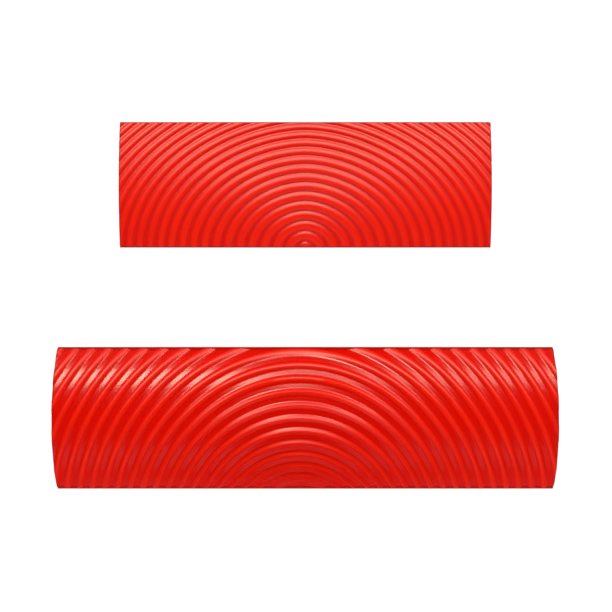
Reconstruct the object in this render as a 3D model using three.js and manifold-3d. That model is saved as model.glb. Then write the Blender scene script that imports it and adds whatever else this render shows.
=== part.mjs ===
// A pair of wood grain tools: a large and a small rocker that draw a heart grain in wet glaze.
//
// Each tool is four pieces: a ridged rubber pad, an arched backing with cross ribs that the
// pad is cemented to and hooked round, a grip bar under it, and the screws that hold the bar.
// They lie side by side with the ridged faces up, each standing on the flat foot of its grip.
//
// Lengths are in millimetres. X runs along the tools, Y from the large tool to the small one
// and Z up. The origin is on the floor, in the middle of the pair.

import * as THREE from 'three';
import { mergeVertices } from 'three/addons/utils/BufferGeometryUtils.js';
import Module from 'manifold-3d';

const wasm = await Module();
wasm.setup();

// Sizes that both tools share
const toolGap = 25.4;
const bondLine = 0.3;
const seatClearance = 0.1;
const screwClearance = 0.3;
const cutOverrun = 1;
const facetSag = 0.12;
const ringSegments = 40;
const roundSegments = 16;
const cornerSegments = 4;

const gripBar = {
  height: 21.1,
  seatWidth: 12,
  seatThickness: 2.4,
  webThickness: 5,
  beadWidth: 14,
  beadHeight: 9.5,
  beadShares: { widest: 1 / 3, bend: 2 / 3, shoulder: 5 / 6 },
  footWidth: 10,
  fillet: 1.6,
  pillarRadius: 4.2,
};

const screw = {
  shankRadius: 1.5,
  headRadius: 3,
  headHeight: 2.2,
  headEdge: 0.6,
  sink: 3,
  pointLength: 2,
};

// Sizes of each tool. The arch's radius is a share of the tool's width, the grip's length and
// the ribs' pitch are shares of its length, and the screws' pitch is a share of the grip.
// The ring pattern is measured square on to the face: rings of one family round a heart that
// lies past the lower long edge, closer or wider apart towards the heart.
const largeTool = {
  name: 'large',
  length: 127,
  width: 36.4,
  archShare: 0.6044,
  pad: { thickness: 3.2, hemWidth: 0.7, hemThickness: 1.3, hemRound: 0.4, lipReach: 2.6 },
  ridges: { depth: 1.1, grooveWidth: 1.6, floorWidth: 0.7 },
  rings: {
    heartOffset: -1.5,
    heartDrop: 15.9,
    heartRadius: 14.8,
    heartPitch: 2.25,
    outerPitch: 3.09,
    settleRings: 4.2,
    squashShare: 0.88,
    roundness: 2,
  },
  backing: {
    thickness: 2,
    endInset: 1,
    keelDepth: 7,
    keelWall: 2,
    bossRadius: 4.5,
    ribThickness: 1.8,
    ribRecess: 0.6,
    ribPitchShare: 0.1732,
    ribCount: 6,
  },
  grip: { lengthShare: 0.8661, taper: 8, cornerRadius: 6 },
  fastening: { count: 3, pitchShare: 0.3455, bite: 6 },
};

const smallTool = {
  name: 'small',
  length: 94.2,
  width: 31.9,
  archShare: 1.5047,
  pad: { thickness: 2.8, hemWidth: 1.1, hemThickness: 1.2, hemRound: 0.4, lipReach: 2.4 },
  ridges: { depth: 0.9, grooveWidth: 1.2, floorWidth: 0.3 },
  rings: {
    heartOffset: 0,
    heartDrop: 0.4,
    heartRadius: 3.67,
    heartPitch: 3.17,
    outerPitch: 1.8,
    settleRings: 24.6,
    squashShare: 1.245,
    roundness: 1.825,
  },
  backing: {
    thickness: 1.8,
    endInset: 1,
    keelDepth: 4,
    keelWall: 2,
    bossRadius: 4.5,
    ribThickness: 1.8,
    ribRecess: 0.6,
    ribPitchShare: 0.2123,
    ribCount: 5,
  },
  grip: { lengthShare: 0.8493, taper: 8, cornerRadius: 6 },
  fastening: { count: 2, pitchShare: 0.625, bite: 3.8 },
};

const redRubber = { color: 0xe63422, roughness: 0.42, metalness: 0 };
const redPlastic = { color: 0xc41e10, roughness: 0.5, metalness: 0 };
const platedSteel = { color: 0xb9bcc0, roughness: 0.35, metalness: 0.9 };

// Solids and geometries

function solidOf(geometry) {
  const bare = geometry.clone();
  bare.deleteAttribute('normal');
  bare.deleteAttribute('uv');
  const merged = mergeVertices(bare);
  const vertProperties = Float32Array.from(merged.attributes.position.array);
  const triVerts = Uint32Array.from(merged.index.array);
  return new wasm.Manifold(new wasm.Mesh({ numProp: 3, vertProperties, triVerts }));
}

function geometryOf(solid) {
  const { vertProperties, triVerts } = solid.getMesh();
  const geometry = new THREE.BufferGeometry();
  geometry.setAttribute('position', new THREE.BufferAttribute(vertProperties, 3));
  geometry.setIndex(new THREE.BufferAttribute(triVerts, 1));
  geometry.computeVertexNormals();
  return geometry;
}

function joined(geometries) {
  return geometries.map(solidOf).reduce((whole, piece) => whole.add(piece));
}

// Turns a section in (y, z) into a bar along X, with its middle at centreX.
function barAlongX(outline, length, centreX = 0) {
  const options = { depth: length, bevelEnabled: false, curveSegments: cornerSegments };
  const geometry = new THREE.ExtrudeGeometry(outline, options);
  const alongX = new THREE.Matrix4().makeBasis(
    new THREE.Vector3(0, 1, 0),
    new THREE.Vector3(0, 0, 1),
    new THREE.Vector3(1, 0, 0),
  );
  geometry.applyMatrix4(alongX);
  return geometry.translate(centreX - length / 2, 0, 0);
}

function uprightCylinder(radius, bottom, top, x) {
  const geometry = new THREE.CylinderGeometry(radius, radius, top - bottom, roundSegments);
  geometry.rotateX(Math.PI / 2);
  return geometry.translate(x, 0, (bottom + top) / 2);
}

function evenlySpaced(count, pitch) {
  return Array.from({ length: count }, (_, index) => (index - (count - 1) / 2) * pitch);
}

function gripLengthOf(tool) {
  return tool.length * tool.grip.lengthShare;
}

function screwPlacesOf(tool) {
  const { count, pitchShare } = tool.fastening;
  return evenlySpaced(count, gripLengthOf(tool) * pitchShare);
}

// The arch: radii and angles of one tool's layers, from the ridge tops inwards

function layersOf(tool) {
  const { length, width, pad, ridges, backing } = tool;
  const archRadius = width * tool.archShare;
  const hemTop = archRadius - ridges.depth / 2;
  const padInner = archRadius - pad.thickness;
  const backOuter = padInner - bondLine;
  const backInner = backOuter - backing.thickness;
  const lipOuter = backInner - bondLine;
  const lipInner = lipOuter - pad.hemThickness;
  const keelBottom = gripBar.height + seatClearance;
  const edgeAngle = Math.asin(width / 2 / (hemTop - pad.hemRound));
  const wallAngle = edgeAngle - pad.hemThickness / backOuter;
  const lipAngle = wallAngle - pad.lipReach / lipOuter;
  return {
    archRadius,
    hemTop,
    padInner,
    backOuter,
    backInner,
    lipOuter,
    lipInner,
    keelBottom,
    edgeAngle,
    wallAngle,
    lipAngle,
    backAngle: wallAngle - bondLine / backOuter,
    ribAngle: lipAngle - bondLine / lipInner,
    axisHeight: keelBottom + backing.keelDepth - backInner,
    facetTurn: 2 * Math.acos(1 - facetSag / archRadius),
    backLength: length - 2 * backing.endInset,
  };
}

// Points in (y, z) from corner to corner, each given as [angle from the crown, radius], with
// steps short enough for the facets to follow an arc.
function archPoints(corners, layers) {
  return corners.flatMap(([angle, radius], index) => {
    const [nextAngle, nextRadius] = corners[Math.min(index + 1, corners.length - 1)];
    const steps = Math.max(1, Math.ceil(Math.abs(nextAngle - angle) / layers.facetTurn));
    return Array.from({ length: steps }, (_, step) => {
      const turn = THREE.MathUtils.lerp(angle, nextAngle, step / steps);
      const reach = THREE.MathUtils.lerp(radius, nextRadius, step / steps);
      const height = layers.axisHeight + reach * Math.cos(turn);
      return new THREE.Vector2(reach * Math.sin(turn), height);
    });
  });
}

// The ridged pad

function ringRadii(rings, reach) {
  const radii = [];
  let radius = rings.heartRadius;
  while (radius < reach) {
    const settling = Math.exp(-radii.length / rings.settleRings);
    radii.push(radius);
    radius += rings.outerPitch + (rings.heartPitch - rings.outerPitch) * settling;
  }
  return radii;
}

// How far out a point of the plan lies, counted as the radius of the ring through it.
function ringReach(x, y, { squashShare, roundness }) {
  return (Math.abs(x) ** roundness + Math.abs(y * squashShare) ** roundness) ** (1 / roundness);
}

// A flat slab whose top carries the rings, centred on the heart, turned and then drawn from
// circles into the tool's own ring shape.
function ringSlab(tool) {
  const { length, width, pad, ridges, rings } = tool;
  const farX = length / 2 + Math.abs(rings.heartOffset);
  const reach = ringReach(farX, width + rings.heartDrop, rings) + ridges.grooveWidth;
  const profile = [new THREE.Vector2(0, 0), new THREE.Vector2(reach + ridges.grooveWidth, 0)];
  profile.push(new THREE.Vector2(reach + ridges.grooveWidth, pad.thickness));
  const floor = pad.thickness - ridges.depth;
  ringRadii(rings, reach).reverse().forEach((radius) => {
    profile.push(new THREE.Vector2(radius + ridges.grooveWidth / 2, pad.thickness));
    profile.push(new THREE.Vector2(radius + ridges.floorWidth / 2, floor));
    profile.push(new THREE.Vector2(radius - ridges.floorWidth / 2, floor));
    profile.push(new THREE.Vector2(radius - ridges.grooveWidth / 2, pad.thickness));
  });
  profile.push(new THREE.Vector2(0, pad.thickness));
  const slab = new THREE.LatheGeometry(profile, ringSegments);
  slab.rotateX(Math.PI / 2);
  const places = slab.attributes.position;
  for (let index = 0; index < places.count; index += 1) {
    const x = places.getX(index);
    const y = places.getY(index);
    const away = Math.hypot(x, y);
    if (away > 0) {
      const { roundness, squashShare } = rings;
      const spread = ringReach(x / away, y / away, { squashShare: 1, roundness });
      places.setXY(index, x / spread, y / spread / squashShare);
    }
  }
  return slab.translate(rings.heartOffset, -width / 2 - rings.heartDrop, 0);
}

// Splits every triangle whose sides turn too far round the arch. Two triangles that share a
// side share its middle point, so the surface stays closed.
function splitRoundArch(solid, turnOf, mostTurn) {
  const { vertProperties, triVerts } = solid.getMesh();
  const places = Array.from(vertProperties);
  const middles = new Map();
  const triangles = [];

  function middleOf(a, b) {
    const key = a < b ? `${a},${b}` : `${b},${a}`;
    if (!middles.has(key)) {
      middles.set(key, places.length / 3);
      for (let axis = 0; axis < 3; axis += 1) {
        places.push((places[a * 3 + axis] + places[b * 3 + axis]) / 2);
      }
    }
    return middles.get(key);
  }

  function split(a, b, c) {
    const sides = [[a, b, c], [b, c, a], [c, a, b]];
    const turns = sides.map(([from, to]) => (
      Math.abs(turnOf(places[from * 3 + 1]) - turnOf(places[to * 3 + 1]))
    ));
    const widest = turns.indexOf(Math.max(...turns));
    if (turns[widest] <= mostTurn) {
      triangles.push(a, b, c);
      return;
    }
    const [from, to, opposite] = sides[widest];
    const middle = middleOf(from, to);
    split(from, middle, opposite);
    split(middle, to, opposite);
  }

  for (let index = 0; index < triVerts.length; index += 3) {
    split(triVerts[index], triVerts[index + 1], triVerts[index + 2]);
  }
  const geometry = new THREE.BufferGeometry();
  geometry.setAttribute('position', new THREE.Float32BufferAttribute(places, 3));
  geometry.setIndex(triangles);
  return geometry;
}

// A plain hem along one long edge, flat like the slab: it closes the ends of the grooves and
// turns down and in, so that it hooks round the backing's edge. Heights count from the slab's
// under face.
function hemOutline(tool, layers) {
  const { width, pad, ridges } = tool;
  const acrossAt = (angle) => layers.archRadius * Math.sin(angle);
  const heightAt = (radius) => radius - layers.padInner;
  const inner = width / 2 - pad.hemWidth - pad.hemThickness;
  const edge = acrossAt(layers.edgeAngle);
  const top = heightAt(layers.hemTop);
  const inSlab = (pad.thickness - ridges.depth) / 2;
  return [
    new THREE.Vector2(inner, inSlab),
    new THREE.Vector2(inner, top),
    new THREE.Vector2(edge - pad.hemRound, top),
    new THREE.Vector2(edge, top - pad.hemRound),
    new THREE.Vector2(edge, heightAt(layers.lipInner)),
    new THREE.Vector2(acrossAt(layers.lipAngle), heightAt(layers.lipInner)),
    new THREE.Vector2(acrossAt(layers.lipAngle), heightAt(layers.lipOuter)),
    new THREE.Vector2(acrossAt(layers.wallAngle), heightAt(layers.lipOuter)),
    new THREE.Vector2(acrossAt(layers.wallAngle), inSlab),
  ];
}

// The pad is made flat, ridged field and hems together, and then bent over the arch.
function padGeometry(tool, layers) {
  const { length, width, pad } = tool;
  const fieldWidth = width - 2 * pad.hemWidth;
  const blank = new THREE.BoxGeometry(length, fieldWidth, pad.thickness + 2 * cutOverrun);
  blank.translate(0, 0, pad.thickness / 2);
  const field = solidOf(ringSlab(tool)).intersect(solidOf(blank));
  const hem = barAlongX(new THREE.Shape(hemOutline(tool, layers)), length);
  const flat = field.add(solidOf(hem)).add(solidOf(hem.clone().rotateZ(Math.PI)));

  const turnOf = (y) => Math.asin(THREE.MathUtils.clamp(y / layers.archRadius, -1, 1));
  const bent = splitRoundArch(flat, turnOf, layers.facetTurn);
  const places = bent.attributes.position;
  for (let index = 0; index < places.count; index += 1) {
    const turn = turnOf(places.getY(index));
    const radius = layers.padInner + places.getZ(index);
    const height = layers.axisHeight + radius * Math.cos(turn);
    places.setXYZ(index, places.getX(index), radius * Math.sin(turn), height);
  }
  return bent;
}

// The backing: an arched shell, two keel walls that the grip seats on, cross ribs and bosses

function backingGeometry(tool, layers) {
  const { backing } = tool;
  const midShell = (layers.backOuter + layers.backInner) / 2;
  const shell = archPoints([
    [-layers.backAngle, layers.backOuter],
    [layers.backAngle, layers.backOuter],
    [layers.backAngle, layers.backInner],
    [-layers.backAngle, layers.backInner],
  ], layers);
  const pieces = [barAlongX(new THREE.Shape(shell), layers.backLength)];

  const keelHalf = gripBar.seatWidth / 2;
  const keelTop = layers.axisHeight + midShell * Math.cos(Math.asin(keelHalf / midShell));
  const keelHeight = keelTop - layers.keelBottom;
  const keelLength = layers.backLength - 2 * backing.endInset;
  [-1, 1].forEach((side) => {
    const wall = new THREE.BoxGeometry(keelLength, backing.keelWall, keelHeight);
    const wallY = side * (keelHalf - backing.keelWall / 2);
    pieces.push(wall.translate(0, wallY, layers.keelBottom + keelHeight / 2));
  });

  const ribBottom = layers.keelBottom + backing.ribRecess;
  const inKeelWall = keelHalf - backing.keelWall / 2;
  const rib = archPoints([
    [-layers.ribAngle, layers.lipInner],
    [-layers.ribAngle, midShell],
    [layers.ribAngle, midShell],
    [layers.ribAngle, layers.lipInner],
  ], layers);
  rib.push(new THREE.Vector2(inKeelWall, ribBottom));
  rib.push(new THREE.Vector2(-inKeelWall, ribBottom));
  evenlySpaced(backing.ribCount, tool.length * backing.ribPitchShare).forEach((x) => {
    pieces.push(barAlongX(new THREE.Shape(rib), backing.ribThickness, x));
  });

  const bossTop = layers.axisHeight + midShell;
  const screwPlaces = screwPlacesOf(tool);
  screwPlaces.forEach((x) => {
    pieces.push(uprightCylinder(backing.bossRadius, layers.keelBottom, bossTop, x));
  });

  const holeRadius = screw.shankRadius + screwClearance;
  const holeTop = layers.keelBottom + tool.fastening.bite + screwClearance;
  const holes = screwPlaces.map((x) => (
    uprightCylinder(holeRadius, layers.keelBottom - cutOverrun, holeTop, x)
  ));
  return geometryOf(joined(pieces).subtract(joined(holes)));
}

// The grip bar: a seat plate, a web with pillars round the screws, and a rounded bead

function gripSection() {
  const { height, seatWidth, seatThickness, webThickness } = gripBar;
  const { beadWidth, beadHeight, beadShares, footWidth, fillet } = gripBar;
  const half = webThickness / 2;
  const seatBottom = height - seatThickness;
  const widest = beadHeight * beadShares.widest;
  const bend = beadHeight * beadShares.bend;
  const shoulder = beadHeight * beadShares.shoulder;
  const section = new THREE.Shape();
  section.moveTo(-footWidth / 2, 0);
  section.lineTo(footWidth / 2, 0);
  section.quadraticCurveTo(beadWidth / 2, 0, beadWidth / 2, widest);
  section.quadraticCurveTo(beadWidth / 2, bend, half + fillet, shoulder);
  section.quadraticCurveTo(half, beadHeight, half, beadHeight + fillet);
  section.lineTo(half, seatBottom - fillet);
  section.quadraticCurveTo(half, seatBottom, half + fillet, seatBottom);
  section.lineTo(seatWidth / 2, seatBottom);
  section.lineTo(seatWidth / 2, height);
  section.lineTo(-seatWidth / 2, height);
  section.lineTo(-seatWidth / 2, seatBottom);
  section.lineTo(-half - fillet, seatBottom);
  section.quadraticCurveTo(-half, seatBottom, -half, seatBottom - fillet);
  section.lineTo(-half, beadHeight + fillet);
  section.quadraticCurveTo(-half, beadHeight, -half - fillet, shoulder);
  section.quadraticCurveTo(-beadWidth / 2, bend, -beadWidth / 2, widest);
  section.quadraticCurveTo(-beadWidth / 2, 0, -footWidth / 2, 0);
  return section;
}

// The bar's outline seen from the side: ends that lean in towards the foot, with round corners.
function gripSideOutline(tool) {
  const { height } = gripBar;
  const { taper, cornerRadius } = tool.grip;
  const top = gripLengthOf(tool) / 2;
  const foot = top - taper;
  const side = new THREE.Shape();
  side.moveTo(-foot + cornerRadius, 0);
  side.lineTo(foot - cornerRadius, 0);
  side.quadraticCurveTo(foot, 0, foot + taper * cornerRadius / height, cornerRadius);
  side.lineTo(top, height + cutOverrun);
  side.lineTo(-top, height + cutOverrun);
  side.lineTo(-foot - taper * cornerRadius / height, cornerRadius);
  side.quadraticCurveTo(-foot, 0, -foot + cornerRadius, 0);
  return side;
}

function gripGeometry(tool) {
  const seatMiddle = gripBar.height - gripBar.seatThickness / 2;
  const screwPlaces = screwPlacesOf(tool);
  const pillars = screwPlaces.map((x) => (
    uprightCylinder(gripBar.pillarRadius, gripBar.beadHeight / 2, seatMiddle, x)
  ));
  const sideCut = new THREE.ExtrudeGeometry(gripSideOutline(tool), {
    depth: gripBar.beadWidth + 2 * cutOverrun,
    bevelEnabled: false,
    curveSegments: cornerSegments,
  });
  sideCut.rotateX(Math.PI / 2);
  sideCut.translate(0, gripBar.beadWidth / 2 + cutOverrun, 0);
  const bar = solidOf(barAlongX(gripSection(), gripLengthOf(tool) + 2 * cutOverrun));
  const shaped = bar.intersect(solidOf(sideCut)).add(joined(pillars));

  const seatOfHead = screw.sink + screw.headHeight + seatClearance;
  const bores = screwPlaces.flatMap((x) => [
    uprightCylinder(screw.headRadius + screwClearance, -cutOverrun, seatOfHead, x),
    uprightCylinder(
      screw.shankRadius + screwClearance,
      seatOfHead - cutOverrun,
      gripBar.height + cutOverrun,
      x,
    ),
  ]);
  return geometryOf(shaped.subtract(joined(bores)));
}

// One screw, driven up from the foot into its boss

function screwGeometry(tool, layers, x) {
  const underHead = screw.sink + screw.headHeight;
  const tip = layers.keelBottom + tool.fastening.bite;
  const profile = [
    new THREE.Vector2(0, screw.sink),
    new THREE.Vector2(screw.headRadius - screw.headEdge, screw.sink),
    new THREE.Vector2(screw.headRadius, screw.sink + screw.headEdge),
    new THREE.Vector2(screw.headRadius, underHead),
    new THREE.Vector2(screw.shankRadius, underHead),
    new THREE.Vector2(screw.shankRadius, tip - screw.pointLength),
    new THREE.Vector2(0, tip),
  ];
  const turned = new THREE.LatheGeometry(profile, roundSegments);
  turned.rotateX(Math.PI / 2);
  return geometryOf(solidOf(turned)).translate(x, 0, 0);
}

// The pair, side by side

function meshOf(name, geometry, finish) {
  const mesh = new THREE.Mesh(geometry, new THREE.MeshStandardMaterial(finish));
  mesh.name = name;
  return mesh;
}

function toolGroup(tool, centreY) {
  const layers = layersOf(tool);
  const group = new THREE.Group();
  group.add(meshOf(`${tool.name}_grain_pad`, padGeometry(tool, layers), redRubber));
  group.add(meshOf(`${tool.name}_backing`, backingGeometry(tool, layers), redPlastic));
  group.add(meshOf(`${tool.name}_grip`, gripGeometry(tool), redPlastic));
  screwPlacesOf(tool).forEach((x, index) => {
    const name = `${tool.name}_screw_${index + 1}`;
    group.add(meshOf(name, screwGeometry(tool, layers, x), platedSteel));
  });
  group.position.y = centreY;
  return group;
}

const pairWidth = largeTool.width + toolGap + smallTool.width;
const woodGrainTools = new THREE.Group();
woodGrainTools.add(toolGroup(largeTool, (largeTool.width - pairWidth) / 2));
woodGrainTools.add(toolGroup(smallTool, (pairWidth - smallTool.width) / 2));

export default woodGrainTools;
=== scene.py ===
"""Looks for a pair of wood grain tools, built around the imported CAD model.

Each tool has a ridged rubber pad on an arched backing, a grip bar under it and the screws
that hold the bar. The pads' heart rings and the screws come from Geometry Nodes, and the
backing and the grip are softened copies of their solids. The tools' sizes are written in
millimetres. The stage's sizes and all that reaches Blender are in metres.
"""

import logging
import math
from dataclasses import dataclass
from enum import Enum
from typing import Callable, Mapping, Optional, Sequence, Union

import bmesh
import bpy
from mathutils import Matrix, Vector


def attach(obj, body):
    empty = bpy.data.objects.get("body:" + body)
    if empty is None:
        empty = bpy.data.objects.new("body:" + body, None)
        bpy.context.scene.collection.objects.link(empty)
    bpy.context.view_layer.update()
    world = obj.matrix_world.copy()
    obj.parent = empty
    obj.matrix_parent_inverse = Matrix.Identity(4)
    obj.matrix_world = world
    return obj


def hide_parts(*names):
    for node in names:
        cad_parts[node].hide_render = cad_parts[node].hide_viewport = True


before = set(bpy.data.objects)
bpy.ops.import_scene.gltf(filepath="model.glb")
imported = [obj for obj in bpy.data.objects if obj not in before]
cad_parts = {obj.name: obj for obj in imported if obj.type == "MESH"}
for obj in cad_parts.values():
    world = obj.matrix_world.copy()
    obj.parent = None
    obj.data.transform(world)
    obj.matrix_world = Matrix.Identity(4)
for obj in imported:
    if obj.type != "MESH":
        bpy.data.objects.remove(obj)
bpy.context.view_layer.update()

MM = 0.001
ROOT_BODY = "root"
ENVELOPE_MARK = "envelope"
WELD_DISTANCE = 2e-7  # metres, less than the least gap between points at a heart
SEAM_WELD = 2e-6  # metres
CORNER_GAP = 1 - math.sqrt(0.5)  # how far a round corner stays inside, in radii
LOG = logging.getLogger("wood_grain_tools")

Colour = tuple[float, float, float]
Pair = tuple[float, float]


# Node trees

def operator(operation: str, swapped: bool = False) -> Callable[["Term", "Number"], "Term"]:
    """Makes one of a term's operators.

    Args:
        operation: The Math node's operation.
        swapped: Whether the term stands on the right.

    Returns:
        The operator, as a function of the term and the other operand.
    """
    def apply(term: "Term", other: "Number") -> "Term":
        """Adds the Math node."""
        operands = (other, term) if swapped else (term, other)
        return term.maker.math(operation, *operands)

    return apply


class Term:
    """A socket of a node tree that takes part in Python expressions.

    A comparison gives 1 where it holds, and 0 elsewhere.
    """

    def __init__(self, maker: "NodeMaker", socket: bpy.types.NodeSocket) -> None:
        """Wraps an output socket, with the maker that adds nodes to its tree."""
        self.maker = maker
        self.socket = socket

    __add__ = operator("ADD")
    __radd__ = operator("ADD", swapped=True)
    __sub__ = operator("SUBTRACT")
    __rsub__ = operator("SUBTRACT", swapped=True)
    __mul__ = operator("MULTIPLY")
    __rmul__ = operator("MULTIPLY", swapped=True)
    __truediv__ = operator("DIVIDE")
    __rtruediv__ = operator("DIVIDE", swapped=True)
    __pow__ = operator("POWER")
    __gt__ = operator("GREATER_THAN")
    __lt__ = operator("LESS_THAN")


Number = Union[float, int, Term]
SocketKey = Union[int, str]
SocketValue = Union[Number, tuple[Term, ...], bool, str, Sequence[float], bpy.types.ID]
Inputs = Optional[Mapping[SocketKey, SocketValue]]


class NodeMaker:
    """Adds nodes to one tree and sets or links their sockets."""

    def __init__(self, tree: bpy.types.NodeTree) -> None:
        """Starts on a shader or geometry tree."""
        self.tree = tree

    def node(self, kind: str, inputs: Inputs = None, **settings: object) -> bpy.types.Node:
        """Adds a node.

        Args:
            kind: The node's type.
            inputs: Values or links, by the socket's place, identifier or name.
            settings: Values of the node itself, which are set first.

        Returns:
            The node.
        """
        node = self.tree.nodes.new(kind)
        for name, value in settings.items():
            setattr(node, name, value)
        for key, value in (inputs or {}).items():
            self.feed(self.socket_of(node.inputs, key), value)
        return node

    @staticmethod
    def socket_of(sockets: Sequence, key: SocketKey) -> bpy.types.NodeSocket:
        """Finds a socket.

        Args:
            sockets: A node's inputs or outputs.
            key: The socket's place, identifier or name.

        Returns:
            The socket.
        """
        if isinstance(key, int):
            return sockets[key]
        matches = [s for s in sockets if s.identifier == key]
        matches += [s for s in sockets if s.name == key and s.enabled]
        return matches[0]

    def feed(self, socket: bpy.types.NodeSocket, value: SocketValue) -> None:
        """Links one or more terms to a socket, or sets the socket's own value.

        Args:
            socket: The input socket.
            value: The term, a tuple of terms or the value.
        """
        terms = (value,) if isinstance(value, Term) else value
        if isinstance(terms, tuple) and all(isinstance(term, Term) for term in terms):
            for term in terms:
                self.tree.links.new(term.socket, socket)
        else:
            socket.default_value = value

    def term(
        self, kind: str, inputs: Inputs = None, output: SocketKey = 0, **settings: object
    ) -> Term:
        """Adds a node, as node does, and gives one of its outputs."""
        return Term(self, self.socket_of(self.node(kind, inputs, **settings).outputs, output))

    def math(self, operation: str, *values: Number) -> Term:
        """Adds one Math node on the values."""
        return self.term("ShaderNodeMath", dict(enumerate(values)), operation=operation)

    def ramp(self, value: Term, low: Number, high: Number, start: Number, end: Number) -> Term:
        """Turns low to high smoothly into start to end, and holds the result at the ends."""
        inputs = {0: value, 1: low, 2: high, 3: start, 4: end}
        return self.term("ShaderNodeMapRange", inputs, interpolation_type="SMOOTHSTEP", clamp=True)

    def clamped(self, value: Term) -> Term:
        """Holds a value between 0 and 1."""
        return self.math("MINIMUM", self.math("MAXIMUM", value, 0.0), 1.0)

    def share(self, value: Term, low: Number, high: Number) -> Term:
        """Gives how far a value has come from low to high, held between 0 and 1."""
        return self.clamped((value - low) / (high - low))

    def vector(self, x: Number, y: Number, z: Number) -> Term:
        """Joins three values to a vector."""
        return self.term("ShaderNodeCombineXYZ", {0: x, 1: y, 2: z})

    def axes(self, vector: Term) -> tuple[Term, Term, Term]:
        """Parts a vector into its three values."""
        parts = self.node("ShaderNodeSeparateXYZ", {0: vector})
        return tuple(Term(self, socket) for socket in parts.outputs)


class GeometryMaker(NodeMaker):
    """Builds one Geometry Nodes tree with named inputs, and runs it on objects."""

    def __init__(self, name: str) -> None:
        """Makes the tree, which takes and gives a geometry.

        Args:
            name: The tree's name.
        """
        super().__init__(bpy.data.node_groups.new(name, "GeometryNodeTree"))
        self.identifiers: dict[str, str] = {}
        for way in ("INPUT", "OUTPUT"):
            self.tree.interface.new_socket(
                "Geometry", in_out=way, socket_type="NodeSocketGeometry"
            )
        self.entry = self.tree.nodes.new("NodeGroupInput")

    def size(self, label: str, kind: str = "Float") -> Term:
        """Gives a named input, and adds it to the interface on its first use.

        Args:
            label: The input's name.
            kind: The end of its socket type's name.

        Returns:
            The input.
        """
        if label not in self.identifiers:
            socket = self.tree.interface.new_socket(
                label, in_out="INPUT", socket_type=f"NodeSocket{kind}"
            )
            self.identifiers[label] = socket.identifier
        return Term(self, self.socket_of(self.entry.outputs, self.identifiers[label]))

    def close(self, geometry: Term) -> None:
        """Ends the tree in Realize Instances and Set Material.

        Args:
            geometry: The tree's result.
        """
        real = self.term("GeometryNodeRealizeInstances", {0: geometry})
        material = self.size("Material", "Material")
        dressed = self.term("GeometryNodeSetMaterial", {0: real, "Material": material})
        exit_node = self.tree.nodes.new("NodeGroupOutput")
        self.tree.links.new(dressed.socket, exit_node.inputs[0])

    def joined(self, *parts: Term) -> Term:
        """Joins geometries without welding them."""
        return self.term("GeometryNodeJoinGeometry", {0: parts})

    def grid(self, columns: Number, rows: Number) -> tuple[Term, Term, Term]:
        """Adds a square grid, and gives it with its points' X and Y, from -0.5 to 0.5."""
        sheet = self.term("GeometryNodeMeshGrid", {0: 1.0, 1: 1.0, 2: columns, 3: rows})
        return sheet, *self.axes(self.term("GeometryNodeInputPosition"))[:2]

    def turned(self, sheet: Term, turn: Term, radius: Term, height: Term) -> Term:
        """Turns an outline, which starts and ends on the Z axis, into a closed solid.

        Args:
            sheet: The grid that becomes the solid.
            turn: The share of a turn of each point.
            radius: The distance of each point from the axis.
            height: The height of each point.

        Returns:
            The solid.
        """
        angle = turn * math.tau
        place = self.vector(
            radius * self.math("COSINE", angle), radius * self.math("SINE", angle), height
        )
        return self.welded(self.reset(sheet, place))

    def reset(self, geometry: Term, place: Term) -> Term:
        """Sets every point's place."""
        return self.term("GeometryNodeSetPosition", {0: geometry, 2: place})

    def welded(self, geometry: Term) -> Term:
        """Joins points that lie on each other."""
        return self.term("GeometryNodeMergeByDistance", {0: geometry, "Distance": WELD_DISTANCE})

    def moved(self, geometry: Term, place: Term) -> Term:
        """Moves a geometry."""
        return self.term("GeometryNodeTransform", {0: geometry, "Translation": place})

    def boolean(self, operation: str, *solids: Term) -> Term:
        """Cuts or joins closed solids.

        Args:
            operation: The Mesh Boolean node's operation.
            solids: The solids, of which the first is the one that a difference cuts.

        Returns:
            The result.
        """
        cut = 1 if operation == "DIFFERENCE" else 0
        inputs = {0: solids[:cut], 1: solids[cut:]}
        return self.term(
            "GeometryNodeMeshBoolean", inputs, operation=operation, solver="MANIFOLD"
        )

    def stored(self, geometry: Term, mark: "Mark", value: Number) -> Term:
        """Stores a value for each point as a mark that materials can read."""
        inputs = {0: geometry, "Name": mark.value, "Value": value}
        return self.term("GeometryNodeStoreNamedAttribute", inputs, data_type="FLOAT")

    def smooth(self, geometry: Term, sharpest: float) -> Term:
        """Shades a mesh smooth, apart from edges that turn further than an angle.

        Args:
            geometry: The mesh.
            sharpest: The largest turn that stays smooth, in degrees.

        Returns:
            The mesh with its shading.
        """
        kind = "GeometryNodeSetShadeSmooth"
        faces = self.term(kind, {0: geometry, 2: True}, domain="FACE")
        is_sharp = self.term("GeometryNodeInputMeshEdgeAngle") > math.radians(sharpest)
        return self.term(kind, {0: faces, 1: is_sharp, 2: False}, domain="EDGE")

    def bake(
        self,
        name: str,
        mesh: bpy.types.Mesh,
        values: Mapping[str, float],
        material: bpy.types.Material,
    ) -> bpy.types.Object:
        """Runs the tree on a mesh and keeps the result as a plain mesh.

        Args:
            name: The new piece's name.
            mesh: The mesh that goes into the tree.
            values: The value of each named input, besides the material.
            material: The material of the result.

        Returns:
            The piece.
        """
        carrier = placed(f"{name}.source", mesh)
        modifier = carrier.modifiers.new(self.tree.name, "NODES")
        modifier.node_group = self.tree
        for label, value in {**values, "Material": material}.items():
            modifier[self.identifiers[label]] = value
        return baked_copy(carrier, name)


def placed(name: str, data: bpy.types.ID) -> bpy.types.Object:
    """Puts a new object into the scene.

    Args:
        name: The object's name.
        data: Its mesh, lamp or camera.

    Returns:
        The object.
    """
    item = bpy.data.objects.new(name, data)
    bpy.context.scene.collection.objects.link(item)
    return item


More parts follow.
